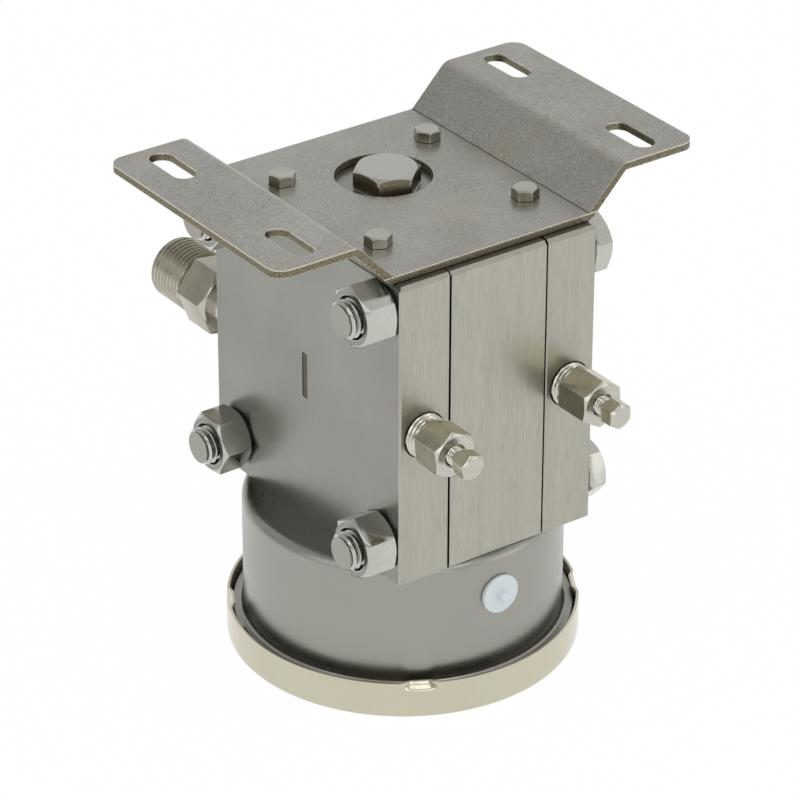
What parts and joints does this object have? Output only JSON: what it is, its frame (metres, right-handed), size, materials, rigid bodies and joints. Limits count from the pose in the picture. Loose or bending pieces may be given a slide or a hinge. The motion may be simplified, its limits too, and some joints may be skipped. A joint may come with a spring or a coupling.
{
  "type": "differential pressure gauge",
  "caption": "Round dial gauge with a bayonet bezel and a clamped three-plate measuring block, two threaded connections, bleed valves and a folded wall bracket.",
  "frame": {"origin": "on the dial axis in the front plane of the bezel ring, on which the gauge lies face down", "axes": "+Z to the rear of the gauge, where the wall bracket is; +Y to the process connections (down in use); +X to the high-pressure flange, where the bolt heads are"},
  "size_m": [0.1526, 0.1595, 0.1661],
  "materials": {
    "bezel_steel": "polished stainless sheet",
    "case_steel": "satin stainless sheet",
    "block_steel": "brushed stainless bar",
    "flange_steel": "satin stainless bar",
    "bracket_steel": "pickled stainless sheet",
    "fastener_steel": "bright stainless fasteners",
    "fitting_steel": "turned stainless",
    "sensor_steel": "turned and formed stainless",
    "movement_brass": "satin brass",
    "movement_steel": "ground steel arbors",
    "spring_alloy": "bright spring strip",
    "dial_white": "matt white enamel",
    "pointer_black": "matt black enamel",
    "window": "clear safety glass",
    "gasket_rubber": "black rubber",
    "seal_polymer": "white sealing polymer",
    "relief_white": "white moulded plug"
  },
  "bodies": {
    "gauge": {"window_glass": "window", "window_gasket": "gasket_rubber", "case_shell": "case_steel", "case_screws": "fastener_steel", "case_seal": "gasket_rubber", "centre_block": "block_steel", "low_flange": "flange_steel", "low_seal_ring": "seal_polymer", "low_diaphragm": "sensor_steel", "low_process_union": "fitting_steel", "low_vent_body": "fitting_steel", "high_flange": "flange_steel", "high_seal_ring": "seal_polymer", "high_diaphragm": "sensor_steel", "high_process_union": "fitting_steel", "high_vent_body": "fitting_steel", "tie_bolts": "fastener_steel", "tie_nuts": "fastener_steel", "mounting_bracket": "bracket_steel", "bracket_screws": "fastener_steel", "closing_plug": "fastener_steel", "closing_plug_seal": "seal_polymer", "seal_housing": "sensor_steel", "lever_fulcrum": "sensor_steel", "seal_bellows": "sensor_steel", "movement_front_plate": "movement_brass", "movement_rear_plate": "movement_brass", "movement_pillars": "movement_brass", "movement_posts": "movement_brass", "movement_screws": "fastener_steel", "hairspring": "spring_alloy", "hairspring_stud": "movement_brass", "dial_plate": "dial_white", "dial_screws": "fastener_steel", "dial_feet": "movement_brass"},
    "bezel": {"bezel_ring": "bezel_steel"},
    "relief": {"relief_plug": "relief_white"},
    "sector": {"sector_gear": "movement_brass", "sector_arbor": "movement_steel", "drive_arm": "movement_brass", "drive_arm_pin": "movement_steel"},
    "pointer": {"pinion": "movement_steel", "pointer": "pointer_black", "pointer_hub": "movement_brass"},
    "link": {"drive_link": "movement_brass"},
    "lever": {"transfer_lever": "sensor_steel"},
    "rod": {"centre_rod": "sensor_steel", "rod_clamp_discs": "sensor_steel"},
    "low_ball": {"low_seat_ball": "fitting_steel"},
    "low_screw": {"low_bleed_screw": "fitting_steel"},
    "high_ball": {"high_seat_ball": "fitting_steel"},
    "high_screw": {"high_bleed_screw": "fitting_steel"}
  },
  "joints": [
    {"name": "bezel_twist", "type": "hinge", "parent": "gauge", "child": "bezel", "pos_m": [0, 0, 0], "axis": [0, 0, 1], "range_deg": [0, 22]},
    {"name": "relief_pull", "type": "slide", "parent": "gauge", "child": "relief", "axis": [0, -1, 0], "range_m": [0, 0.008]},
    {"name": "sector_swing", "type": "hinge", "parent": "gauge", "child": "sector", "pos_m": [-0.02305, -0.008, 0.0185], "axis": [0, 0, 1], "range_deg": [-29.45, 0]},
    {"name": "pointer_turn", "type": "hinge", "parent": "gauge", "child": "pointer", "pos_m": [0, 0, 0.0185], "axis": [0, 0, 1], "range_deg": [0, 270]},
    {"name": "link_turn", "type": "hinge", "parent": "sector", "child": "link", "pos_m": [-0.02508, -0.00026, 0.035], "axis": [0, 0, 1], "range_deg": [0, 29.45]},
    {"name": "lever_tilt", "type": "hinge", "parent": "gauge", "child": "lever", "pos_m": [0, 0, 0.0781], "axis": [0, 1, 0], "range_deg": [-5.49, 0], "deforming": ["seal_bellows"]},
    {"name": "rod_slide", "type": "slide", "parent": "gauge", "child": "rod", "axis": [-1, 0, 0], "range_m": [0, 0.00225], "deforming": ["low_diaphragm", "high_diaphragm"]},
    {"name": "low_bleed_lift", "type": "slide", "parent": "gauge", "child": "low_ball", "axis": [0, -1, 0], "range_m": [0, 0.003]},
    {"name": "low_bleed_turn", "type": "hinge", "parent": "low_ball", "child": "low_screw", "pos_m": [-0.027, -0.0638, 0.0996], "axis": [0, -1, 0], "range_deg": [0, 1080]},
    {"name": "high_bleed_lift", "type": "slide", "parent": "gauge", "child": "high_ball", "axis": [0, -1, 0], "range_m": [0, 0.003]},
    {"name": "high_bleed_turn", "type": "hinge", "parent": "high_ball", "child": "high_screw", "pos_m": [0.027, -0.0647, 0.0996], "axis": [0, -1, 0], "range_deg": [0, 1080]}
  ],
  "couplings": [
    {"joint": "pointer_turn", "follows": "sector_swing", "ratio": -9.1667},
    {"joint": "link_turn", "follows": "sector_swing", "ratio": -1},
    {"joint": "lever_tilt", "follows": "sector_swing", "ratio": 0.18622},
    {"joint": "rod_slide", "follows": "sector_swing", "m_per_rad": -0.0043746},
    {"joint": "low_bleed_turn", "follows": "low_bleed_lift", "rad_per_m": 6283.2},
    {"joint": "high_bleed_turn", "follows": "high_bleed_lift", "rad_per_m": 6283.2}
  ]
}
